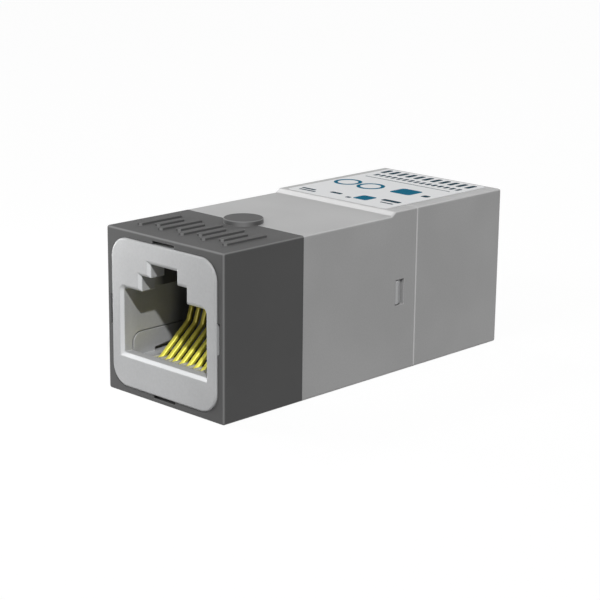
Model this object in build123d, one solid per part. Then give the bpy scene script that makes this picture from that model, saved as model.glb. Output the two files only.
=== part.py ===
from build123d import *
import math
import os

# In-line network isolator. Two eight-way modular sockets look out of the ends
# of a square plastic housing, and four ring transformers between them pass the
# signals on while keeping both sides apart. Millimetres, +Z up. While a piece is
# being made, Y runs from the rim of the front cap (0) to the rear rim, and the
# finished pieces are moved so that the origin lies under the middle.

# Outer shell
width = 16.6
height = 16.6
cap_length = 10.55
main_length = 16.65
rear_length = 13.8
step_rise = 0.42
raised_length = 3.35
ramp_length = 0.6
ramp_round = 0.35
top_edge_round = 0.2
base_edge_round = 0.26
end_edge_round = 0.24
parting_bevel = 0.1

# Walls and running clearances
shell_side_wall = 1.1
shell_roof_wall = 1.1
shell_floor_wall = 1.1
spigot_root = 1.0
rear_spigot_wall = 0.45
rear_spigot_length = 1.45
fit_gap = 0.04
seat_gap = 0.05

# Face of a socket body, and how far it stands out of the rim
rim_side = 0.87
rim_top = 0.8
face_corner = 2.1
face_proud = 0.2
face_edge_bevel = 0.13
flange_depth = 3.0

# Keyed mouth of the socket, sized for the standard eight-way plug
mouth_side = 1.51
mouth_corner = 0.45
sill_rise = 3.38
sill_depth = 1.1
latch_width = 6.44
latch_rise = 1.57
key_width = 3.78
key_rise = 1.37
key_roof = 2.03
mouth_bevel = 0.32
front_wall = 1.8
pocket_width = 7.8
pocket_depth = 8.4
pocket_headroom = 0.53
jack_side_wall = 0.85
jack_roof_wall = 0.8
jack_floor_wall = 1.0
jack_depth = 12.5
jack_corner = 1.3

# Four locating ribs of the socket body, and the slots in the rim that take them
slot_length = 3.0
slot_height = 0.32
slot_depth = 2.0
slot_root = 0.4
rib_depth = 1.0

# Snap arms of the front socket body, with a nose in each side window
window_from_parting = 3.14
window_length = 1.29
window_height = 2.7
window_base = 7.15
nose_gap = 0.12
nose_tip_drop = 0.3
nose_flat = 0.35
arm_thickness = 0.8
arm_jog_length = 1.0
barb_rise = 0.28
barb_length = 1.25
ledge_depth = 1.5

# Round tongue and grip ribs on the cap
tongue_radius = 2.0
tongue_height = 0.5
tongue_edge_bevel = 0.08
grip_count = 9
grip_side = 2.3
grip_width = 0.7
grip_corner = 0.22
grip_long = 5.6
grip_short = 3.6
grip_height = 0.25
grip_middle = 4.9

# Contact carrier: floor with comb, cheeks and rear wall
contact_count = 8
contact_pitch = 1.02
carrier_floor_top = 3.5
carrier_floor_base = 2.5
carrier_front = 1.25
carrier_back = 13.4
cheek_top = 5.85
cheek_nose_round = 1.0
cheek_gap = 0.09
rear_wall_front = 9.6
rear_wall_thickness = 2.6
tooth_height = 0.25
tooth_front = 1.3
tooth_slope = 0.12
tooth_length = 4.35
comb_slot_front = 2.35
comb_slot_width = 0.6
comb_slot_length = 1.15
cheek_slot_front = 4.03
cheek_slot_back = 8.0
cheek_slot_low = 0.4
cheek_slot_high = 0.9
groove_height = 0.56
guide_depth = 0.5
guide_base = 5.4
guide_roof = 1.23
peg_radius = 0.6
peg_inset = 0.72
peg_depth = 11.8
peg_gap = 0.05
peg_sides = 12

# Spring contacts, each bent from one flat strip
strip_width = 0.5
strip_thickness = 0.4
run_height = 2.8
foot_depth = 3.0
foot_height = 3.7
spring_angle = 40.0
spring_share = 0.677
tip_angle = 72.0
tip_share = 0.316
front_bend = 0.4
tail_bend = 0.3
tip_bend = 0.6
bend_step = 36.0
first_tail = 11.0
tail_stagger = 1.6
tail_stand = 0.2

# Circuit board and the rails under it
board_thickness = 0.8
board_side_gap = 1.0
board_front = 10.2
board_gap = 0.2
board_corner = 0.6
tail_hole_radius = 0.36
tail_hole_sides = 8
split_width = 1.2
split_margin = 1.0
rail_width = 0.8
rail_inset = 0.5
rail_front = 13.5
rail_length = 12.0

# Ring transformers, standing side by side over the split in the board
pair_count = 4
pair_margin = 0.4
pair_gap = 1.0
core_radius = 3.0
core_hole = 1.3
core_sides = 24
winding_layer = 0.12
turn_height = 0.14
turn_width = 0.28
turn_count = 6
lead_spread = 2.2
lead_height = 1.2

# Printed film on the raised half
label_left_margin = 1.05
label_right_margin = 1.55
label_front_margin = 0.2
label_rear_margin = 0.6
label_thickness = 0.12
label_seat = 0.08
label_corner = 0.4
label_gap = 0.03

# Sizes that follow from the ones above
total_length = cap_length + main_length + rear_length
parting = cap_length + main_length
raised_height = height + step_rise
face_width = width - 2 * rim_side
face_height = height - 2 * rim_top
face_middle = height / 2
cap_bore_width = face_width + 2 * fit_gap
cap_bore_height = face_height + 2 * fit_gap
cap_bore_corner = face_corner + fit_gap
bore_width = width - 2 * shell_side_wall
bore_top = height - shell_roof_wall
bore_base = shell_floor_wall
mouth_width = face_width - 2 * mouth_side
sill_height = rim_top + sill_rise
key_top = height - rim_top - key_roof
latch_top = key_top - key_rise
mouth_top = latch_top - latch_rise
spring_length = spring_share * (mouth_top - sill_height)
tip_length = tip_share * (mouth_top - sill_height)
pocket_top = key_top + pocket_headroom
jack_width = mouth_width + 2 * jack_side_wall
jack_top = pocket_top + jack_roof_wall
jack_base = carrier_floor_base - seat_gap - jack_floor_wall
passage_width = jack_width + 2 * seat_gap
passage_top = jack_top + seat_gap
passage_base = jack_base - seat_gap
board_top = carrier_floor_base
board_base = board_top - board_thickness
board_length = total_length - 2 * board_front
board_width = bore_width - 2 * board_side_gap
split_length = board_width - 2 * split_margin
rail_spread = board_width / 2 - rail_inset
peg_spread = mouth_width / 2 - peg_inset
tooth_width = contact_pitch - comb_slot_width
pair_pitch = (board_width - 2 * pair_margin) / pair_count
core_width = pair_pitch - pair_gap
core_step = 360 / core_sides
coil_growth = winding_layer + turn_height
grip_pitch = (width - 2 * grip_side) / (grip_count - 1)
label_width = width - label_left_margin - label_right_margin
label_front = parting - raised_length + label_front_margin
label_rear = total_length - label_rear_margin
label_length = label_rear - label_front
label_x = (label_left_margin - label_right_margin) / 2
label_y = (label_front + label_rear) / 2
over = 1.0


# Extrudes a sketch of X and Z from one depth to another along Y.
def along_y(sketch, y_from, y_to):
    return extrude(Plane.XZ.offset(-y_from) * sketch, amount=-(y_to - y_from))


# Upright section with its lowest and highest edge given, rounded at its corners.
def section(wide, z_low, z_high, corner):
    middle = Pos(0, (z_low + z_high) / 2)
    if corner <= 0:
        return middle * Rectangle(wide, z_high - z_low)
    return middle * RectangleRounded(wide, z_high - z_low, corner)


# Straight bar along Y.
def bar(wide, z_low, z_high, y_from, y_to, corner=0):
    return along_y(section(wide, z_low, z_high, corner), y_from, y_to)


# Plain block between two corners.
def block(x_from, x_to, y_from, y_to, z_from, z_to):
    size = (x_to - x_from, y_to - y_from, z_to - z_from)
    middle = Pos((x_from + x_to) / 2, (y_from + y_to) / 2, (z_from + z_to) / 2)
    return middle * Box(*size)


# Edges that run along the shell, in its top or its base corners.
def long_edges(shell, at_top):
    chosen = []
    for edge in shell.edges():
        run = edge @ 1 - edge @ 0
        on_side = abs(abs(edge.center().X) - width / 2) < fit_gap
        if on_side and abs(run.Y) > abs(run.Z) and (edge.center().Z > height / 2) == at_top:
            chosen.append(edge)
    return chosen


# Rounds the long outer corners of a shell.
def soften_shell(shell):
    shell = fillet(long_edges(shell, True), top_edge_round)
    return fillet(long_edges(shell, False), base_edge_round)


# Four blocks across the edges of a socket's face, which make its slots or its ribs.
def rim_blocks(y_from, y_to, clearance):
    long = slot_length / 2 + clearance
    side = face_width / 2
    low = face_middle - face_height / 2
    high = face_middle + face_height / 2
    out = slot_height + clearance
    z_from, z_to = face_middle - long, face_middle + long
    return [
        block(-long, long, y_from, y_to, high - slot_root, high + out),
        block(-long, long, y_from, y_to, low - out, low + slot_root),
        block(side - slot_root, side + out, y_from, y_to, z_from, z_to),
        block(-side - out, slot_root - side, y_from, y_to, z_from, z_to),
    ]


# Round tongue that laps over the grey housing behind the cap.
def make_tongue():
    disc = Pos(0, cap_length, height + tongue_height / 2) * Cylinder(tongue_radius, tongue_height)
    return chamfer(disc.edges().group_by(Axis.Z)[-1], tongue_edge_bevel)


# Raised grip ribs, every second one short.
def make_grips():
    first = -(grip_count - 1) / 2 * grip_pitch
    ribs = []
    for i in range(grip_count):
        reach = grip_short if i % 2 else grip_long
        outline = chamfer(Rectangle(grip_width, reach).vertices(), grip_corner)
        place = Pos(first + i * grip_pitch, grip_middle, height)
        ribs.append(place * extrude(outline, amount=grip_height))
    return ribs


# Dark sleeve over the front end of the housing.
def make_front_cap():
    cap = bar(width, 0, height, 0, cap_length)
    cap = soften_shell(cap)
    cap = fillet(cap.faces().sort_by(Axis.Y)[0].edges(), end_edge_round)
    low = face_middle - cap_bore_height / 2
    high = face_middle + cap_bore_height / 2
    cap -= bar(cap_bore_width, low, high, -over, cap_length + over, cap_bore_corner)
    cap -= rim_blocks(-over, slot_depth, fit_gap)
    cap += make_tongue()
    return cap + make_grips()


# Seat for the film, cut into both shells.
def label_pocket():
    outline = Pos(label_x, label_y) * RectangleRounded(
        label_width + 2 * label_gap, label_length + 2 * label_gap, label_corner + label_gap)
    return extrude(Plane.XY.offset(raised_height - label_seat) * outline, amount=over)


# Outer form of the middle shell, with the ramp up to its raised part.
def make_main_block():
    ramp_top = parting - raised_length
    ramp_foot = ramp_top - ramp_length
    outline = make_face(Polyline(
        (cap_length, 0), (parting, 0), (parting, raised_height), (ramp_top, raised_height),
        (ramp_foot, height), (cap_length, height), close=True))
    ends = (ramp_top, ramp_foot)
    ramp = [v for v in outline.vertices() if min(abs(v.X - end) for end in ends) < fit_gap]
    outline = fillet(ramp, ramp_round)
    shell = extrude(Plane.YZ * outline, amount=width / 2, both=True)
    shell = soften_shell(shell)
    joint = shell.faces().sort_by(Axis.Y)[-1]
    return chamfer(joint.edges(), parting_bevel)


# Window for the nose of a snap arm, through both side walls.
def side_windows():
    y_from = parting - window_from_parting
    high = window_base + window_height
    return block(-width, width, y_from, y_from + window_length, window_base, high)


# Rails on the floor of the housing that carry the circuit board.
def board_rails():
    rails = []
    for side in (-1, 1):
        middle = side * rail_spread
        rails.append(block(middle - rail_width / 2, middle + rail_width / 2,
                           rail_front, rail_front + rail_length,
                           bore_base - seat_gap, board_base))
    return rails


# Grey shell between the cap and the parting line.
def make_main_housing():
    shell = make_main_block()
    spigot_front = flange_depth + seat_gap
    half = face_height / 2
    shell += bar(face_width, face_middle - half, face_middle + half,
                 spigot_front, cap_length + over, face_corner)
    bore_front = cap_length + spigot_root
    shell -= bar(bore_width, bore_base, bore_top, bore_front, parting + over)
    shell -= bar(passage_width, passage_base, passage_top, 0, bore_front + over, jack_corner)
    shell -= side_windows()
    shell -= label_pocket()
    return shell + board_rails()


# Turns a piece that was made for the front end round to the rear end.
def to_rear(piece):
    return Pos(0, total_length, 0) * Rot(0, 0, 180) * piece


# Outer form of the rear shell, with the thin spigot that enters the middle shell.
def make_rear_block():
    shell = soften_shell(bar(width, 0, raised_height, parting, total_length))
    shell = fillet(shell.faces().sort_by(Axis.Y)[-1].edges(), end_edge_round)
    shell = chamfer(shell.faces().sort_by(Axis.Y)[0].edges(), parting_bevel)
    outer = bar(bore_width - 2 * seat_gap, bore_base + seat_gap, bore_top - seat_gap,
                parting - rear_spigot_length, parting + spigot_root)
    return shell + outer


# Grey shell behind the parting line, with a ledge that the rear socket snaps on to.
def make_rear_cap():
    shell = make_rear_block()
    inset = seat_gap + rear_spigot_wall
    shell -= bar(bore_width - 2 * inset, bore_base + inset, bore_top - inset,
                 0, parting + spigot_root)
    seat = total_length - flange_depth - seat_gap
    shell -= bar(bore_width, bore_base, bore_top, parting + spigot_root, seat - ledge_depth)
    shell -= bar(passage_width, passage_base, passage_top, parting, total_length, jack_corner)
    half = cap_bore_height / 2
    shell -= bar(cap_bore_width, face_middle - half, face_middle + half,
                 seat, total_length + over, cap_bore_corner)
    shell -= [to_rear(slot) for slot in rim_blocks(-over, slot_depth, fit_gap)]
    return shell - label_pocket()


# Wide part of the mouth, which the plug's body fills.
def plug_outline():
    wide = section(mouth_width, sill_height, mouth_top, 0)
    return fillet(wide.vertices().group_by(Axis.Y)[-1], mouth_corner)


# Edges of the keyed mouth in the front face of a socket body.
def mouth_edges(body):
    chosen = []
    for edge in body.edges():
        middle = edge.center()
        in_face = abs(middle.Y + face_proud) < fit_gap
        inside = abs(middle.X) < mouth_width / 2 + fit_gap
        if in_face and inside and sill_height - fit_gap < middle.Z < key_top + fit_gap:
            chosen.append(edge)
    return chosen


# Socket body without its snaps. Its depth runs from the rim (0) inwards.
def make_jack_shell():
    half = face_height / 2
    body = bar(face_width, face_middle - half, face_middle + half,
               -face_proud, flange_depth, face_corner)
    body = chamfer(body.faces().sort_by(Axis.Y)[0].edges(), face_edge_bevel)
    body += rim_blocks(rib_depth, slot_depth - fit_gap, -fit_gap)
    body += bar(jack_width, jack_base, jack_top, flange_depth, jack_depth, jack_corner)
    face = -face_proud
    body -= along_y(plug_outline(), face, jack_depth)
    body -= bar(latch_width, mouth_top - over, latch_top, face, front_wall)
    body -= bar(key_width, latch_top - over, key_top, face, front_wall)
    body = chamfer(mouth_edges(body), mouth_bevel)
    body -= bar(pocket_width, mouth_top - over, pocket_top, front_wall, front_wall + pocket_depth)
    return body - carrier_bay()


# Everything that is cut out of a socket body to let the carrier in from behind.
def carrier_bay():
    floor_base = carrier_floor_base - seat_gap
    back = jack_depth + over
    bay = bar(mouth_width, floor_base, sill_height + over / 2, sill_depth, back)
    slot_top = cheek_top + cheek_gap
    outline = make_face(Polyline(
        (sill_depth, floor_base), (back, floor_base), (back, slot_top),
        (sill_depth, slot_top), close=True))
    nose = outline.vertices().group_by(Axis.X)[0].group_by(Axis.Y)[-1]
    outline = fillet(nose, cheek_nose_round + cheek_gap)
    bay += extrude(Plane.YZ * outline, amount=jack_width / 2, both=True)
    return bay + block(-width, width, board_front - board_gap, back, 0, floor_base)


# Flexible arm with its nose, seen from above and made on the right side.
def make_snap_arm():
    outer = bore_width / 2 - seat_gap
    inner = outer - arm_thickness
    catch = parting - window_from_parting + seat_gap
    tip = catch + window_length - 2 * seat_gap
    root = jack_width / 2
    jog = jack_depth + arm_jog_length
    outline = make_face(Polyline(
        (root, jack_depth - over), (root, jack_depth), (outer, jog),
        (outer, catch), (width / 2, catch), (width / 2, catch + nose_flat),
        (width / 2 - nose_tip_drop, tip - nose_gap), (outer, tip), (inner, tip),
        (inner, jog), (root - arm_thickness, jack_depth), (root - arm_thickness, jack_depth - over),
        close=True))
    low = window_base + nose_gap
    return extrude(Plane.XY.offset(low) * outline, amount=window_height - 2 * nose_gap)


# Small barb on the side wall, which snaps behind the ledge of the rear shell.
def make_barb():
    root = jack_width / 2
    catch = flange_depth + 2 * seat_gap + ledge_depth
    outline = make_face(Polyline(
        (root - arm_thickness / 2, catch), (root + barb_rise, catch),
        (root, catch + barb_length), (root - arm_thickness / 2, catch + barb_length), close=True))
    low = window_base + nose_gap
    return extrude(Plane.XY.offset(low) * outline, amount=window_height - 2 * nose_gap)


# Socket body with the same snap on both of its sides.
def make_jack_body(snap):
    return make_jack_shell() + snap + mirror(snap, Plane.YZ)


# Distance of a contact from the middle of the row.
def contact_x(index):
    return (index - (contact_count - 1) / 2) * contact_pitch


# Depth at which a contact's tail goes down through the board.
def tail_y(index):
    return first_tail + tail_stagger * (index % 2)


# Moulded tray that holds the eight contacts.
def make_carrier():
    half = jack_width / 2 - seat_gap
    cheek = jack_side_wall - seat_gap
    side = make_face(Polyline(
        (carrier_front, carrier_floor_base), (carrier_back, carrier_floor_base),
        (carrier_back, cheek_top), (carrier_front, cheek_top), close=True))
    nose = side.vertices().group_by(Axis.X)[0].group_by(Axis.Y)[-1]
    side = fillet(nose, cheek_nose_round)
    tray = extrude(Plane.YZ * side, amount=half, both=True)
    tray -= block(-half + cheek, half - cheek, 0, carrier_back + over,
                  carrier_floor_top, cheek_top + over)
    wall = section(mouth_width - 2 * seat_gap, carrier_floor_top, mouth_top - seat_gap, 0)
    wall = fillet(wall.vertices().group_by(Axis.Y)[-1], mouth_corner)
    tray += along_y(wall, rear_wall_front, rear_wall_front + rear_wall_thickness)
    tray -= cheek_slots()
    tray += comb_teeth()
    tray -= contact_channels()
    return tray + locating_pegs()


# Ribs of the comb, which run back from the sill and keep the springs apart.
def comb_teeth():
    top = carrier_floor_top + tooth_height
    back = tooth_front + tooth_length
    base = carrier_floor_top - seat_gap
    outline = make_face(Polyline(
        (tooth_front, base), (back, base), (back, top), (tooth_front + tooth_slope, top),
        close=True))
    tooth = extrude(Plane.YZ * outline, amount=tooth_width / 2, both=True)
    teeth = Part()
    for i in range(contact_count + 1):
        teeth += Pos(contact_x(i) - contact_pitch / 2, 0, 0) * tooth
    return teeth


# Slots in the floor, grooves under it and guides in the rear wall.
def contact_channels():
    half = comb_slot_width / 2
    guide_top = mouth_top - guide_roof
    cuts = []
    for i in range(contact_count):
        x = contact_x(i)
        left, right = x - half, x + half
        cuts.append(block(left, right, comb_slot_front, comb_slot_front + comb_slot_length,
                          0, carrier_floor_top + over))
        cuts.append(block(left, right, comb_slot_front + comb_slot_length / 2,
                          tail_y(i) + comb_slot_width, 0, carrier_floor_base + groove_height))
        cuts.append(block(left, right, rear_wall_front - over, rear_wall_front + guide_depth,
                          guide_base, guide_top))
    return cuts


# Wedge that leaves a slot along the foot of both cheeks.
def cheek_slots():
    outline = make_face(Polyline(
        (cheek_slot_front, carrier_floor_top), (cheek_slot_back, carrier_floor_top),
        (cheek_slot_back, carrier_floor_top + cheek_slot_high),
        (cheek_slot_front, carrier_floor_top + cheek_slot_low), close=True))
    return extrude(Plane.YZ * outline, amount=width / 2, both=True)


# Two pegs that set the carrier on the board.
def locating_pegs():
    base = board_base + seat_gap
    tall = carrier_floor_base - base + seat_gap
    peg = extrude(RegularPolygon(peg_radius, peg_sides), amount=tall)
    return [Pos(side * peg_spread, peg_depth, base) * peg for side in (-1, 1)]


# Line of a bent strip: straight runs, with every corner turned in equal steps.
def bent_line(points, radii):
    line = [points[0]]
    for before, corner, after, radius in zip(points, points[1:], points[2:], radii):
        to = (corner - before).normalized()
        away = (after - corner).normalized()
        turn = math.acos(to.dot(away))
        inward = (away - to * math.cos(turn)) / math.sin(turn)
        start = corner - to * (radius * math.tan(turn / 2))
        steps = round(math.degrees(turn) / bend_step)
        for i in range(steps + 1):
            angle = turn * i / steps
            line.append(start + to * (radius * math.sin(angle))
                        + inward * (radius * (1 - math.cos(angle))))
    return Polyline(*line, points[-1])


# Spring contact: tail, run under the floor, front bend, spring and upright tip.
def make_contact(index):
    slope = math.tan(math.radians(spring_angle))
    corner = foot_depth - (foot_height - run_height) / slope
    rise = Vector(0, math.cos(math.radians(spring_angle)), math.sin(math.radians(spring_angle)))
    steep = Vector(0, math.cos(math.radians(tip_angle)), math.sin(math.radians(tip_angle)))
    bend = Vector(0, foot_depth, foot_height) + rise * spring_length
    tail = tail_y(index)
    points = [Vector(0, tail, board_base - tail_stand), Vector(0, tail, run_height),
              Vector(0, corner, run_height), bend, bend + steep * tip_length]
    path = bent_line(points, [tail_bend, front_bend, tip_bend])
    strip = Plane(path @ 0, x_dir=(1, 0, 0), z_dir=path % 0) * Rectangle(strip_width, strip_thickness)
    return Pos(contact_x(index), 0, 0) * sweep(strip, path=path, transition=Transition.RIGHT)


# Holes for the tails of one socket and for the pegs of its carrier.
def board_holes():
    small = extrude(RegularPolygon(tail_hole_radius, tail_hole_sides, False), amount=over, both=True)
    large = extrude(RegularPolygon(peg_radius + peg_gap, peg_sides, False), amount=over, both=True)
    holes = [Pos(contact_x(i), tail_y(i), board_top) * small for i in range(contact_count)]
    return holes + [Pos(side * peg_spread, peg_depth, board_top) * large for side in (-1, 1)]


# Circuit board, split across its middle between the two sides of the line.
def make_board():
    outline = RectangleRounded(board_width, board_length, board_corner)
    board = Pos(0, total_length / 2, board_base) * extrude(outline, amount=board_thickness)
    for hole in board_holes():
        board -= hole
        board -= to_rear(hole)
    split = Pos(0, total_length / 2, board_base) * SlotOverall(split_length, split_width)
    return board - extrude(split, amount=board_thickness)


# Distance of a ring transformer from the middle of the row.
def pair_x(index):
    return (index - (pair_count - 1) / 2) * pair_pitch


# Stands a ring that was made flat upright over the split in the board.
def stand_up(piece, index):
    return Pos(pair_x(index), total_length / 2, board_top + core_radius) * Rot(0, 90, 0) * piece


# Ring core of one pair, made flat.
def make_core():
    ring = RegularPolygon(core_radius, core_sides) - RegularPolygon(core_hole, core_sides)
    return extrude(ring, amount=core_width / 2, both=True)


# Layer of wire over some of the sides of a core.
def wire_layer(start):
    rim, hole = [], []
    for i in range(turn_count + 1):
        angle = math.radians(start + i * core_step)
        x, y = math.cos(angle), math.sin(angle)
        rim.append(((core_radius + winding_layer) * x, (core_radius + winding_layer) * y))
        hole.insert(0, ((core_hole - winding_layer) * x, (core_hole - winding_layer) * y))
    outline = make_face(Polyline(*rim, *hole, close=True))
    return extrude(outline, amount=core_width / 2 + winding_layer, both=True)


# One winding made flat: its layer of wire, with a raised turn over each side of the core.
def make_coil(facing):
    start = facing - turn_count * core_step / 2
    to_side = math.cos(math.radians(core_step / 2))
    near = (core_hole - winding_layer) * to_side
    far = (core_radius + coil_growth) * to_side
    half = core_width / 2 + coil_growth
    turn = block(near, far, -turn_width / 2, turn_width / 2, -half, half)
    coil = wire_layer(start)
    for i in range(turn_count):
        coil += Rot(0, 0, start + (i + 1 / 2) * core_step) * turn
    return coil - make_core()


# Standing winding with two leads down to the board, on the front (-1) or rear (1) half.
def make_winding(index, side):
    winding = stand_up(make_coil(side * 90), index)
    y = total_length / 2 + side * lead_spread
    half = coil_growth / 2
    for face in (-1, 1):
        x = pair_x(index) + face * (core_width / 2 + half)
        winding += block(x - half, x + half, y - half, y + half, board_top, board_top + lead_height)
    return winding


# Printed film on the raised half of the housing.
def make_label():
    outline = Pos(label_x, label_y) * RectangleRounded(label_width, label_length, label_corner)
    return extrude(Plane.XY.offset(raised_height - label_seat) * outline, amount=label_thickness)


# Moves a finished piece so that the origin lies under the middle, and writes it.
def save(name, piece):
    export_step(Pos(0, -total_length / 2, 0) * piece, f"parts/{name}.step")


os.makedirs("parts", exist_ok=True)
save("front_cap", make_front_cap())
save("main_housing", make_main_housing())
save("rear_cap", make_rear_cap())
save("top_label", make_label())
save("front_jack_body", make_jack_body(make_snap_arm()))
save("rear_jack_body", to_rear(make_jack_body(make_barb())))
carrier = make_carrier()
save("front_contact_carrier", carrier)
save("rear_contact_carrier", to_rear(carrier))
for i in range(contact_count):
    contact = make_contact(i)
    save(f"front_contact_{i + 1}", contact)
    save(f"rear_contact_{i + 1}", to_rear(contact))
save("circuit_board", make_board())
for i in range(pair_count):
    save(f"pair_{i + 1}_core", stand_up(make_core(), i))
    save(f"pair_{i + 1}_primary", make_winding(i, -1))
    save(f"pair_{i + 1}_secondary", make_winding(i, 1))
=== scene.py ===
import math

import bpy
from mathutils import Matrix, Vector


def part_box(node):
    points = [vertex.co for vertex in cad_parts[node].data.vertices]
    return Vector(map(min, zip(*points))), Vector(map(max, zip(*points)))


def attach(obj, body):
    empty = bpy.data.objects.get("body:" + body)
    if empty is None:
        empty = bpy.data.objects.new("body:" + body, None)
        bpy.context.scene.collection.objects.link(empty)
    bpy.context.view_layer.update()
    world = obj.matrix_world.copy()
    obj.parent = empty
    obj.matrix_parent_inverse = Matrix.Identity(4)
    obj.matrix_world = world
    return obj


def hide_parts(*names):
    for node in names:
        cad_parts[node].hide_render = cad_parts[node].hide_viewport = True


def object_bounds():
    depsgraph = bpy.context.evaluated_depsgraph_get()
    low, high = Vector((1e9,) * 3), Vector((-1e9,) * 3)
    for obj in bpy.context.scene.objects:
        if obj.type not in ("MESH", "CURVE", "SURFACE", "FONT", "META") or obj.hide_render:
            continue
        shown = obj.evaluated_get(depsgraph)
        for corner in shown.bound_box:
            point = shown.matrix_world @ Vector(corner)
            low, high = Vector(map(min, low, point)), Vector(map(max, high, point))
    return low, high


# In-line network isolator: a small square plastic bar with a keyed eight-way socket in each end.
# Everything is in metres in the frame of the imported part, and the sections below follow the
# order in which the real one is put together, from the circuit board out to the label.
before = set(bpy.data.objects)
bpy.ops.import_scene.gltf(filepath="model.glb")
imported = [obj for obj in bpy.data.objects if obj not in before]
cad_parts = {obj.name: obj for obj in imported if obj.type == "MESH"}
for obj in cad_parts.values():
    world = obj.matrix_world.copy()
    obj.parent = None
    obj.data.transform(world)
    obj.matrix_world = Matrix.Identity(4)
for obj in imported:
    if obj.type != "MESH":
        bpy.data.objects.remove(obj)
cad_low, cad_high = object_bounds()
bpy.ops.object.select_all(action="DESELECT")

# Circuit board: green glass laminate that carries both sockets and the four transformers. It is
# routed from a sheet and solder-masked on both faces, so the weave only shows faintly through.
mm = 0.001


def new_finish(name, colour, roughness):
    """Material with one shader. Gives the material, its shader and the place on the object."""
    finish = bpy.data.materials.new(name)
    finish.use_nodes = True
    shader = finish.node_tree.nodes["Principled BSDF"]
    shader.inputs["Base Color"].default_value = (*colour, 1)
    shader.inputs["Roughness"].default_value = roughness
    place = finish.node_tree.nodes.new("ShaderNodeTexCoord")
    return finish, shader, place.outputs["Object"]


def add_node(finish, kind, **settings):
    """Adds a node to a finish and sets its properties, and its inputs where the name is an input's."""
    node = finish.node_tree.nodes.new(kind)
    for name, value in settings.items():
        if hasattr(node, name):
            setattr(node, name, value)
        else:
            node.inputs[name.replace("_", " ")].default_value = value
    return node


def join(finish, *ends):
    """Feeds inputs: the first end goes to the second, the third to the fourth, and so on.

    What goes to an input is a node's output, which is linked, or a number or colour, which is set.
    """
    for source, target in zip(ends[::2], ends[1::2]):
        if isinstance(source, bpy.types.NodeSocket):
            finish.node_tree.links.new(source, target)
        elif isinstance(source, tuple):
            target.default_value = (*source, 1)
        else:
            target.default_value = source


def grain(finish, place, size, detail=2.0):
    """Noise whose grains are about this many metres across."""
    noise = add_node(finish, "ShaderNodeTexNoise", Scale=1 / size, Detail=detail)
    join(finish, place, noise.inputs["Vector"])
    return noise.outputs["Fac"]


def ranged(finish, value, start, end, first, last):
    """Turns values from start to end into values from first to last."""
    change = add_node(finish, "ShaderNodeMapRange", From_Min=start, From_Max=end,
                      To_Min=first, To_Max=last)
    join(finish, value, change.inputs["Value"])
    return change.outputs["Result"]


def spread(finish, noise, low, high):
    """Turns a noise, which mostly lies from 0.3 to 0.7, into values from low to high."""
    return ranged(finish, noise, 0.3, 0.7, low, high)


def mixed(finish, factor, first, second, blend="MIX"):
    """Colour that goes from the first to the second with a factor."""
    mix = add_node(finish, "ShaderNodeMix", data_type="RGBA", blend_type=blend)
    # the node has a set of inputs for each type of data, and these are the ones for colours
    factor_in, first_in, second_in = mix.inputs[0], mix.inputs[6], mix.inputs[7]
    join(finish, factor, factor_in, first, first_in, second, second_in)
    return mix.outputs[2]


def add_bump(finish, shader, height, strength, depth):
    """Roughens a shader's surface by a height, this many metres deep."""
    bump = add_node(finish, "ShaderNodeBump", Strength=strength, Distance=depth)
    join(finish, height, bump.inputs["Height"], bump.outputs["Normal"], shader.inputs["Normal"])
    return bump


def dress(node, finish):
    """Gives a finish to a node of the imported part."""
    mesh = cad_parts[node].data
    mesh.materials.clear()
    mesh.materials.append(finish)


laminate, laminate_shader, laminate_place = new_finish("green laminate", (0.03, 0.16, 0.07), 0.3)
weave = add_node(laminate, "ShaderNodeTexBrick", Scale=1.8 / mm, Mortar_Size=0.06, Brick_Width=0.5,
                 Row_Height=0.5, offset=0.5, Color1=(0.03, 0.17, 0.075, 1),
                 Color2=(0.025, 0.14, 0.06, 1), Mortar=(0.045, 0.2, 0.1, 1))
mask_gloss = spread(laminate, grain(laminate, laminate_place, 0.9 * mm), 0.22, 0.38)
join(laminate, laminate_place, weave.inputs["Vector"],
     weave.outputs["Color"], laminate_shader.inputs["Base Color"],
     mask_gloss, laminate_shader.inputs["Roughness"])
add_bump(laminate, laminate_shader, weave.outputs["Fac"], 0.2, 0.02 * mm)
laminate_shader.inputs["Coat Weight"].default_value = 0.4
dress("circuit_board", laminate)

# Ring cores: pressed and sintered ferrite, one for each wire pair. They are dull dark grey, with
# the fine speckle of the pressed powder and softly tumbled edges.
ferrite, ferrite_shader, ferrite_place = new_finish("sintered ferrite", (0.035, 0.034, 0.036), 0.7)
speckle = grain(ferrite, ferrite_place, 0.08 * mm, 4.0)
join(ferrite, mixed(ferrite, speckle, (0.022, 0.021, 0.023), (0.06, 0.058, 0.06)),
     ferrite_shader.inputs["Base Color"],
     spread(ferrite, speckle, 0.6, 0.8), ferrite_shader.inputs["Roughness"])
add_bump(ferrite, ferrite_shader, speckle, 0.35, 0.02 * mm)
pairs = range(1, 5)
for pair in pairs:
    dress(f"pair_{pair}_core", ferrite)

# Windings: enamelled copper wire on opposite halves of each core, which keeps both sides of the
# line apart. The turns lie side by side round the ring, so fine lines run across every layer.


def maths(finish, operation, *values):
    """Result of an operation on numbers, each a node's output or a constant."""
    node = add_node(finish, "ShaderNodeMath", operation=operation)
    for value, target in zip(values, node.inputs):
        join(finish, value, target)
    return node.outputs["Value"]


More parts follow.
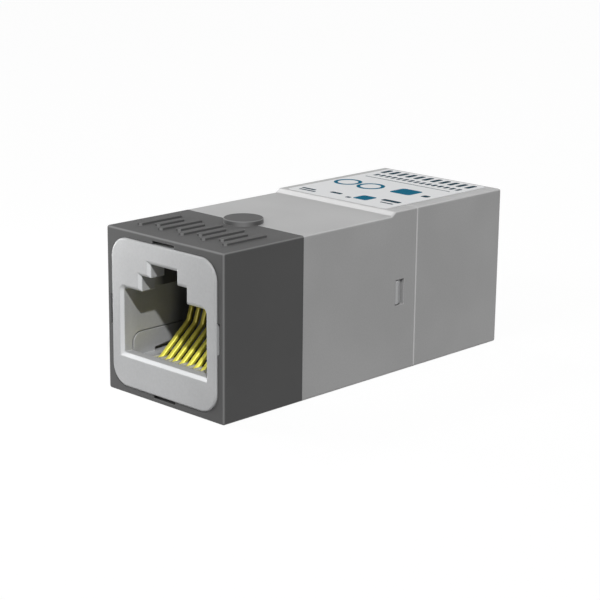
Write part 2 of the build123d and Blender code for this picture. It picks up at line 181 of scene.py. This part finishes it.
copper, copper_shader, copper_place = new_finish("enamelled copper", (0.5, 0.15, 0.05), 0.3)
ring_low, ring_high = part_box("pair_1_core")
ring_height = (ring_low.z + ring_high.z) / 2
wires_round_ring = 90
ring_centre = add_node(copper, "ShaderNodeMapping", Location=(0, 0, -ring_height))
ring_axes = add_node(copper, "ShaderNodeSeparateXYZ")
enamel = mixed(copper, grain(copper, copper_place, 0.3 * mm), (0.42, 0.11, 0.035), (0.62, 0.22, 0.08))
join(copper, copper_place, ring_centre.inputs["Vector"],
     ring_centre.outputs["Vector"], ring_axes.inputs["Vector"],
     enamel, copper_shader.inputs["Base Color"])
ring_angle = maths(copper, "ARCTAN2", ring_axes.outputs["Z"], ring_axes.outputs["Y"])
wire_wave = maths(copper, "SINE", maths(copper, "MULTIPLY", ring_angle, wires_round_ring))
add_bump(copper, copper_shader, wire_wave, 0.6, 0.06 * mm)
copper_shader.inputs["Metallic"].default_value = 0.9
copper_shader.inputs["Coat Weight"].default_value = 0.6
for pair in pairs:
    dress(f"pair_{pair}_primary", copper)
    dress(f"pair_{pair}_secondary", copper)

# Spring contacts: phosphor bronze strip, stamped, bent and gold plated, eight to a socket. Each
# rises from its tail in the board, runs forward under the carrier, turns back over the front of
# the comb and slants up and back, where the plug's blades press on it.
contact_count = 8
contact_pitch = 1.02 * mm
near_tail_depth = 11.0 * mm
far_tail_depth = 12.6 * mm
strip_width = 0.5 * mm
strip_thickness = 0.4 * mm
strip_rounding = 0.1 * mm
tail_base = 1.5 * mm
tail_point_height = 0.25 * mm
tail_point_share = 0.55
tail_height = 0.75 * mm
tail_bend_radius = 0.3 * mm
front_bend_depth = 3.026 * mm
front_bend_radius = 0.4 * mm
front_bend_angle = math.radians(140)
slant_length = 4.632 * mm
kink_radius = 0.6 * mm
kink_angle = math.radians(32)
upright_length = 1.682 * mm
tip_length = 0.242 * mm
tip_share = 0.7
front_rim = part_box("front_cap")[0].y


def along(heading):
    """Direction of a heading: 0 is straight back into the socket, and a quarter turn is straight up."""
    return Vector((0, math.cos(heading), math.sin(heading)))


def run_on(place, heading, length):
    """Draws out the end of the strip along its heading, and gives the end's new place."""
    step = length * along(heading)
    bpy.ops.mesh.extrude_region_move(TRANSFORM_OT_translate={"value": tuple(step)})
    return place + step


def bend(place, heading, radius, angle, steps):
    """Bends the end of the strip, to the right of its heading where the angle is negative.

    Gives the end's new place and heading.
    """
    quarter = math.copysign(math.pi / 2, angle)
    centre = place + radius * along(heading + quarter)
    # the spin operator counts its angle against the right-hand rule
    bpy.ops.mesh.spin(steps=steps, angle=-angle, axis=(1, 0, 0), center=centre,
                      dupli=False, use_auto_merge=False)
    heading += angle
    return centre - radius * along(heading + quarter), heading


def bend_contact(name, tail_depth):
    """Spring contact in the middle of the front socket, with its tail this far behind the rim."""
    foot = Vector((0, front_rim + tail_depth, tail_base))
    up = math.pi / 2
    bpy.ops.mesh.primitive_plane_add(size=1, location=foot)
    contact = bpy.context.object
    contact.name = contact.data.name = name
    contact.scale = (strip_width, strip_thickness, 1)
    bpy.ops.object.transform_apply(location=True, rotation=True, scale=True)
    bpy.ops.object.mode_set(mode="EDIT")
    bpy.ops.mesh.select_all(action="SELECT")
    bpy.ops.mesh.bevel(offset=strip_rounding, segments=3, affect="VERTICES")
    bpy.ops.mesh.select_all(action="SELECT")
    bpy.ops.transform.resize(value=(tail_point_share, tail_point_share, 1), center_override=foot)
    place = run_on(foot, up, tail_point_height)
    bpy.ops.transform.resize(value=(1 / tail_point_share, 1 / tail_point_share, 1),
                             center_override=foot)
    place = run_on(place, up, tail_height)
    place, heading = bend(place, up, tail_bend_radius, math.pi / 2, 5)
    place = run_on(place, heading, place.y - (front_rim + front_bend_depth))
    place, heading = bend(place, heading, front_bend_radius, -front_bend_angle, 10)
    place = run_on(place, heading, slant_length)
    place, heading = bend(place, heading, kink_radius, kink_angle, 4)
    place = run_on(place, heading, upright_length)
    run_on(place, heading, tip_length)
    bpy.ops.transform.resize(value=(tip_share, tip_share, tip_share))
    bpy.ops.mesh.select_all(action="SELECT")
    bpy.ops.mesh.remove_doubles(threshold=0.001 * mm)
    bpy.ops.mesh.normals_make_consistent(inside=False)
    bpy.ops.object.mode_set(mode="OBJECT")
    bpy.ops.object.shade_smooth_by_angle(angle=math.radians(35))
    return contact


gold, gold_shader, gold_place = new_finish("gold plate", (0.9, 0.66, 0.12), 0.3)
draw_lines = add_node(gold, "ShaderNodeMapping", Scale=(14 / mm, 0.9 / mm, 0.9 / mm))
drawn = add_node(gold, "ShaderNodeTexNoise", Scale=1.0, Detail=2.0)
gold_axes = add_node(gold, "ShaderNodeSeparateXYZ")
join(gold, gold_place, draw_lines.inputs["Vector"],
     draw_lines.outputs["Vector"], drawn.inputs["Vector"],
     gold_place, gold_axes.inputs["Vector"])
plating = mixed(gold, grain(gold, gold_place, 0.12 * mm, 3.0), (0.95, 0.87, 0.08), (1.0, 0.95, 0.18))
# painted shade: the gold darkens to brown towards the tips, which stand in the dark of the socket
tip_shade = ranged(gold, gold_axes.outputs["Z"], 4.7 * mm, 6.4 * mm, 0, 0.72)
join(gold, mixed(gold, tip_shade, plating, (0.23, 0.17, 0.035)), gold_shader.inputs["Base Color"],
     spread(gold, drawn.outputs["Fac"], 0.32, 0.5), gold_shader.inputs["Roughness"])
add_bump(gold, gold_shader, drawn.outputs["Fac"], 0.12, 0.01 * mm)
gold_shader.inputs["Metallic"].default_value = 0.42

patterns = [bend_contact("contact_near_tail", near_tail_depth),
            bend_contact("contact_far_tail", far_tail_depth)]
for number in range(1, contact_count + 1):
    for end, half_turn in (("front", 0), ("rear", math.pi)):
        bpy.ops.object.select_all(action="DESELECT")
        pattern = patterns[(number - 1) % 2]
        pattern.select_set(True)
        bpy.context.view_layer.objects.active = pattern
        bpy.ops.object.duplicate(linked=False)
        spring = bpy.context.object
        spring.name = spring.data.name = f"{end}_spring_{number}"
        spring.location.x = (number - (contact_count + 1) / 2) * contact_pitch
        bpy.ops.object.transform_apply(location=True, rotation=False, scale=False)
        spring.rotation_euler.z = half_turn
        bpy.ops.object.transform_apply(location=False, rotation=True, scale=False)
        spring.data.materials.append(gold)
        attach(spring, "root")
        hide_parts(f"{end}_contact_{number}")
for pattern in patterns:
    bpy.data.objects.remove(pattern)

# Contact carriers: one moulded tray in each socket, with the comb that keeps the springs apart,
# two cheeks and the rear wall. Light grey, and a little glossier than the housing.


def fourth_powers(finish, vector):
    """Fourth powers of a vector's parts, added: 1 for a normal along an axis, less on a bevel."""
    squares = add_node(finish, "ShaderNodeVectorMath", operation="MULTIPLY")
    total = add_node(finish, "ShaderNodeVectorMath", operation="DOT_PRODUCT")
    join(finish, vector, squares.inputs[0], vector, squares.inputs[1],
         squares.outputs["Vector"], total.inputs[0], squares.outputs["Vector"], total.inputs[1])
    return total.outputs["Value"]


def product(finish, first, *others):
    """All the values multiplied."""
    for other in others:
        first = maths(finish, "MULTIPLY", first, other)
    return first


def shade_socket(finish, place, highlight_mask, tone_and_shade):
    """Keeps the painted edge highlights to the mouth, paints shade on the plastic where little light
    gets to it, and paints the snap arms' noses lighter against the shade of their windows.

    Each limit is a pair: where a place begins, and where all of it counts. They are measured from
    the middle of the part, which suits both sockets.
    """
    past_rim = (19.6 * mm, 18.6 * mm)
    past_comb = (17.9 * mm, 17.0 * mm)
    past_mouth = (14.4 * mm, 13.0 * mm)
    above_sill = (3.3 * mm, 4.3 * mm)
    within_walls = (6.9 * mm, 6.5 * mm)
    within_cheeks = (4.8 * mm, 4.5 * mm)
    at_noses = (7.2 * mm, 7.5 * mm)
    # the painted edge highlight round the mouth lies inside a rounded square, in millimetres from the
    # face's middle
    face_middle = 8.3
    within_face = (2300, 2100)
    axes = add_node(finish, "ShaderNodeSeparateXYZ")
    face = add_node(finish, "ShaderNodeMapping", Location=(0, 0, -face_middle),
                    Scale=(1 / mm, 0, 1 / mm))
    join(finish, place, axes.inputs["Vector"], place, face.inputs["Vector"])
    behind = maths(finish, "ABSOLUTE", axes.outputs["Y"])
    aside = maths(finish, "ABSOLUTE", axes.outputs["X"])
    inside = ranged(finish, aside, *within_walls, 0, 1)
    hidden = product(finish, ranged(finish, behind, *past_rim, 0, 1),
                     ranged(finish, axes.outputs["Z"], *above_sill, 0, 1), inside)
    between = product(finish, ranged(finish, aside, *within_cheeks, 0, 1),
                      ranged(finish, behind, *past_comb, 0, 1))
    far = product(finish, ranged(finish, behind, *past_mouth, 0, 1), inside)
    near_mouth = ranged(finish, fourth_powers(finish, face.outputs["Vector"]), *within_face, 0, 1)
    highlight_mask = product(finish, highlight_mask, near_mouth)
    # painted light: the noses in the side windows are made lighter
    tone_and_shade = product(finish, tone_and_shade, ranged(finish, aside, *at_noses, 1, 1.22))
    # painted shade: past the rim, between the cheeks and deep past the mouth the plastic is darkened,
    # and the edge highlights fade
    for part, edge_left, light_left in ((hidden, 0.1, 0.86), (between, 0.05, 0.2), (far, 0.05, 0.4)):
        highlight_mask = product(finish, highlight_mask, ranged(finish, part, 0, 1, 1, edge_left))
        tone_and_shade = product(finish, tone_and_shade, ranged(finish, part, 0, 1, 1, light_left))
    return highlight_mask, tone_and_shade


def moulded(name, colour, edge_highlight, share, roughness, grain_size, depth, radius, socket=False):
    """Moulded plastic: spark-eroded grain of this size and depth, and faint flow shading.

    Edges up to this radius are polished, and take this share of a paler colour as a painted highlight.
    A socket gets painted shade where little light gets to it, and painted light on its noses.
    """
    finish, shader, place = new_finish(name, colour, roughness)
    fine = grain(finish, place, grain_size, 3.0)
    softened = add_node(finish, "ShaderNodeBevel", samples=6, Radius=radius).outputs["Normal"]
    # painted highlight: bevels and rounded edges, whose normals lie off the axes, take a paler colour
    highlight_mask = ranged(finish, fourth_powers(finish, softened), 0.98, 0.5, 0, share)
    tone_and_shade = spread(finish, fine, 0.96, 1.03)
    if socket:
        highlight_mask, tone_and_shade = shade_socket(finish, place, highlight_mask, tone_and_shade)
    flow = spread(finish, grain(finish, place, 6 * mm, 1.0), 0, 1)
    darker = tuple(0.955 * part for part in colour)
    lighter = tuple(1.035 * part for part in colour)
    shade = add_node(finish, "ShaderNodeCombineXYZ")
    join(finish, tone_and_shade, shade.inputs["X"], tone_and_shade, shade.inputs["Y"], tone_and_shade, shade.inputs["Z"])
    body = mixed(finish, 1.0, mixed(finish, flow, darker, lighter), shade.outputs["Vector"], "MULTIPLY")
    dull = spread(finish, fine, roughness - 0.06, roughness + 0.06)
    polish = maths(finish, "MULTIPLY", highlight_mask, 0.15)
    join(finish, mixed(finish, highlight_mask, body, edge_highlight), shader.inputs["Base Color"],
         maths(finish, "SUBTRACT", dull, polish), shader.inputs["Roughness"])
    relief = add_bump(finish, shader, fine, 0.25, depth)
    join(finish, softened, relief.inputs["Normal"])
    return finish


socket_grey = moulded("light grey socket plastic", colour=(0.47, 0.475, 0.48), edge_highlight=(0.76, 0.77, 0.78),
                      share=1.0, roughness=0.36, grain_size=0.2 * mm, depth=0.008 * mm,
                      radius=0.16 * mm, socket=True)
for end in ("front", "rear"):
    dress(f"{end}_contact_carrier", socket_grey)

# Socket bodies: one moulding each, with the keyed mouth for the plug and its latch, and locating
# ribs in the rim. The front one is held by its two long snap arms, whose noses show in the side
# windows, and the rear one by two barbs.
for end in ("front", "rear"):
    dress(f"{end}_jack_body", socket_grey)

# Main housing: light grey moulded shell between the dark cap and the parting line, with the step
# up to its raised rear half, a spigot inside the cap and a snap window in each side.
housing_grey = moulded("light grey housing plastic", colour=(0.45, 0.45, 0.45), edge_highlight=(0.62, 0.62, 0.62),
                       share=0.9, roughness=0.45, grain_size=0.16 * mm, depth=0.014 * mm,
                       radius=0.06 * mm)
dress("main_housing", housing_grey)

# Front cap: dark grey moulded sleeve pushed over the front end, with grip ribs on its top and a
# round tongue that laps over the housing.
cap_grey = moulded("dark grey cap plastic", colour=(0.085, 0.085, 0.085), edge_highlight=(0.23, 0.23, 0.23),
                   share=0.8, roughness=0.84, grain_size=0.16 * mm, depth=0.014 * mm,
                   radius=0.06 * mm)
dress("front_cap", cap_grey)

# Rear cap: moulded shell of the same light grey plastic as the housing. It closes the housing
# behind the parting line and holds the outgoing socket.
dress("rear_cap", housing_grey)

# Label: thin printed polyester film in its shallow seat on the raised half, satin and nearly
# white. The print is plain bars, blocks and rings in two inks, and stands a hundredth of a
# millimetre above the film.
film, film_shader, film_place = new_finish("printed film", (0.72, 0.73, 0.74), 0.35)
mottle = grain(film, film_place, 1.4 * mm, 3.0)
join(film, mixed(film, mottle, (0.73, 0.74, 0.75), (0.81, 0.82, 0.83)),
     film_shader.inputs["Base Color"],
     spread(film, mottle, 0.28, 0.42), film_shader.inputs["Roughness"])
add_bump(film, film_shader, mottle, 0.1, 0.01 * mm)
dress("top_label", film)


def ink(name, dark, light):
    """Screen ink on the film: slightly uneven cover, and drier than the film round it."""
    finish, shader, place = new_finish(name, dark, 0.5)
    shader.inputs["Specular IOR Level"].default_value = 0.0
    cover = grain(finish, place, 0.1 * mm, 3.0)
    join(finish, mixed(finish, spread(finish, cover, 0, 1), dark, light), shader.inputs["Base Color"],
         spread(finish, cover, 0.42, 0.58), shader.inputs["Roughness"])
    return finish


teal_ink = ink("teal ink", (0.018, 0.15, 0.25), (0.032, 0.21, 0.33))
slate_ink = ink("slate ink", (0.03, 0.065, 0.09), (0.06, 0.10, 0.13))
film_low, film_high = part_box("top_label")
ink_thickness = 0.015 * mm
ink_base = film_high.z - ink_thickness / 3


def raise_ink(mark, name, finish):
    """Gives a flat mark its thickness and its ink, and puts it on the film."""
    mark.name = mark.data.name = name
    bpy.ops.mesh.select_all(action="SELECT")
    bpy.ops.mesh.extrude_region_move(TRANSFORM_OT_translate={"value": (0, 0, ink_thickness)})
    bpy.ops.mesh.select_all(action="SELECT")
    bpy.ops.mesh.normals_make_consistent(inside=False)
    bpy.ops.object.mode_set(mode="OBJECT")
    mark.data.materials.append(finish)
    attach(mark, "root")


def block_mark(name, x, y, wide, deep, corner, finish):
    """Rounded block of ink, by its middle from the middle and the front edge of the film."""
    bpy.ops.mesh.primitive_plane_add(size=1, location=(x, film_low.y + y, ink_base))
    mark = bpy.context.object
    mark.scale = (wide, deep, 1)
    bpy.ops.object.transform_apply(location=True, rotation=True, scale=True)
    bpy.ops.object.mode_set(mode="EDIT")
    bpy.ops.mesh.select_all(action="SELECT")
    bpy.ops.mesh.bevel(offset=corner, segments=4, affect="VERTICES")
    raise_ink(mark, name, finish)


def ring_mark(name, x, y, radius, band, finish):
    """Ring of ink, by its middle from the middle and the front edge of the film."""
    bpy.ops.mesh.primitive_circle_add(vertices=40, radius=radius, fill_type="NGON",
                                      location=(x, film_low.y + y, ink_base))
    mark = bpy.context.object
    bpy.ops.object.transform_apply(location=True, rotation=True, scale=True)
    bpy.ops.object.mode_set(mode="EDIT")
    bpy.ops.mesh.select_all(action="SELECT")
    bpy.ops.mesh.inset(thickness=band)
    bpy.ops.mesh.delete(type="FACE")
    raise_ink(mark, name, finish)


head_count, head_start, head_pitch = 11, -6.3 * mm, 1.2 * mm
for number in range(head_count):
    block_mark(f"print_head_{number + 1}", head_start + number * head_pitch, 14.95 * mm,
               0.62 * mm, 1.7 * mm, 0.2 * mm, slate_ink)
line_count, line_start, line_pitch = 15, -5.9 * mm, 0.83 * mm
for number in range(line_count):
    block_mark(f"print_line_{number + 1}", line_start + number * line_pitch, 12.85 * mm,
               0.45 * mm, 0.9 * mm, 0.12 * mm, slate_ink)
block_mark("print_rule", -0.3 * mm, 11.4 * mm, 12.0 * mm, 0.12 * mm, 0.05 * mm, slate_ink)
ring_mark("print_ring_1", -5.3 * mm, 7.45 * mm, 1.55 * mm, 0.42 * mm, teal_ink)
ring_mark("print_ring_2", -2.0 * mm, 7.45 * mm, 1.55 * mm, 0.42 * mm, teal_ink)
block_mark("print_block_1", 2.6 * mm, 7.95 * mm, 2.8 * mm, 2.5 * mm, 0.4 * mm, teal_ink)
block_mark("print_block_2", 1.67 * mm, 2.45 * mm, 1.9 * mm, 1.9 * mm, 0.3 * mm, teal_ink)
block_mark("print_small_1", -5.6 * mm, 1.65 * mm, 1.9 * mm, 0.4 * mm, 0.12 * mm, slate_ink)
block_mark("print_small_2", -5.2 * mm, 0.95 * mm, 2.3 * mm, 0.3 * mm, 0.1 * mm, slate_ink)
block_mark("print_small_3", -2.1 * mm, 2.15 * mm, 1.5 * mm, 0.55 * mm, 0.15 * mm, slate_ink)
block_mark("print_small_4", 0.25 * mm, 1.45 * mm, 0.6 * mm, 0.5 * mm, 0.12 * mm, slate_ink)
block_mark("print_small_5", 4.7 * mm, 3.15 * mm, 2.4 * mm, 0.7 * mm, 0.18 * mm, slate_ink)
block_mark("print_small_6", 5.0 * mm, 2.1 * mm, 1.7 * mm, 0.3 * mm, 0.1 * mm, slate_ink)
block_mark("print_small_7", 5.6 * mm, 7.6 * mm, 0.9 * mm, 0.8 * mm, 0.2 * mm, slate_ink)

# Floor: a plain white sheet under the part, which stays white to the camera and keeps a faint
# shadow, and gives the part less light from below than a white sheet would.
bpy.ops.mesh.primitive_plane_add(size=4, location=(0, 0, 0))
floor = bpy.context.object
floor.name = "studio_floor"
sheet = bpy.data.materials.new("white sheet")
sheet.use_nodes = True
sheet.node_tree.nodes.clear()


def seen_directly(finish):
    """1 for rays straight from the camera or by a mirror or glass, and 0 for diffuse light."""
    rays = add_node(finish, "ShaderNodeLightPath").outputs
    mirrored = maths(finish, "MAXIMUM", rays["Is Camera Ray"], rays["Is Glossy Ray"])
    return maths(finish, "MAXIMUM", mirrored, rays["Is Transmission Ray"])


sheet_end = add_node(sheet, "ShaderNodeOutputMaterial")
sheet_choice = add_node(sheet, "ShaderNodeMixShader")
sheet_bounce = add_node(sheet, "ShaderNodeBsdfDiffuse", Color=(0.2, 0.2, 0.2, 1))
sheet_view = add_node(sheet, "ShaderNodeMixShader", Fac=0.13)
sheet_white = add_node(sheet, "ShaderNodeEmission", Strength=1.045)
sheet_shadow = add_node(sheet, "ShaderNodeBsdfDiffuse", Color=(0.95, 0.95, 0.95, 1))
join(sheet, seen_directly(sheet), sheet_choice.inputs["Fac"],
     sheet_bounce.outputs[0], sheet_choice.inputs[1],
     sheet_white.outputs[0], sheet_view.inputs[1],
     sheet_shadow.outputs[0], sheet_view.inputs[2],
     sheet_view.outputs[0], sheet_choice.inputs[2],
     sheet_choice.outputs[0], sheet_end.inputs["Surface"])
floor.data.materials.append(sheet)

# Studio light: a small key lamp high on the right throws the shadow inside the socket, and softer
# ones fill the face, the top and the rear. An even surround lights what they miss, and it looks
# white to the camera and in reflections.
surround = bpy.data.worlds.new("pale surround")
bpy.context.scene.world = surround
surround.use_nodes = True
surround.node_tree.nodes.clear()
surround_end = add_node(surround, "ShaderNodeOutputWorld")
surround_choice = add_node(surround, "ShaderNodeMixShader")
surround_light = add_node(surround, "ShaderNodeBackground", Color=(1, 1, 1, 1), Strength=0.06)
surround_view = add_node(surround, "ShaderNodeBackground", Color=(1, 1, 1, 1), Strength=1.0)
join(surround, seen_directly(surround), surround_choice.inputs["Fac"],
     surround_light.outputs[0], surround_choice.inputs[1],
     surround_view.outputs[0], surround_choice.inputs[2],
     surround_choice.outputs[0], surround_end.inputs["Surface"])


def hang_lamp(name, towards, distance, size, strength):
    """Square lamp that looks at the part. At strength 1 a face turned to it shows its own colour."""
    lamp = bpy.data.lights.new(name, "AREA")
    lamp.shape = "SQUARE"
    lamp.size = size
    lamp.energy = strength * (math.pi * distance) ** 2
    holder = bpy.data.objects.new(name, lamp)
    bpy.context.scene.collection.objects.link(holder)
    away = Vector(towards).normalized()
    holder.location = (cad_low + cad_high) / 2 + away * distance
    holder.rotation_euler = away.to_track_quat("Z", "Y").to_euler()


hang_lamp("key lamp", towards=(0.576, -0.461, 0.674), distance=2.0, size=0.06, strength=0.67)
hang_lamp("left lamp", towards=(-0.667, 0.051, 0.743), distance=2.0, size=0.35, strength=0.08)
hang_lamp("front lamp", towards=(0.0, -0.88, 0.48), distance=1.0, size=0.3, strength=0.2)
hang_lamp("near lamp", towards=(-0.82, -0.57, 0.07), distance=0.07, size=0.03, strength=0.6)
hang_lamp("rear lamp", towards=(-0.25, 0.95, 0.2), distance=1.0, size=0.6, strength=0.18)

# Camera: at the photograph's viewpoint, in front of the part, to its right and a little above. It
# looks down at the middle of the part and is rolled very slightly, as in the photograph.
camera_place = (0.12105, -0.12712, 0.05398)
camera_turn = math.radians(44.01)
camera_elevation = math.radians(15.04)
camera_roll = math.radians(0.63)
lens = bpy.data.cameras.new("isolator camera")
lens.lens = 105.0
lens.sensor_width = 36.0
lens.clip_start = 0.01
lens.clip_end = 20.0
camera = bpy.data.objects.new("isolator camera", lens)
bpy.context.scene.collection.objects.link(camera)
camera.matrix_world = (Matrix.Translation(camera_place)
                       @ Matrix.Rotation(camera_turn, 4, "Z")
                       @ Matrix.Rotation(math.pi / 2 - camera_elevation, 4, "X")
                       @ Matrix.Rotation(camera_roll, 4, "Z"))
bpy.context.scene.camera = camera
bpy.context.scene.view_settings.view_transform = "Standard"
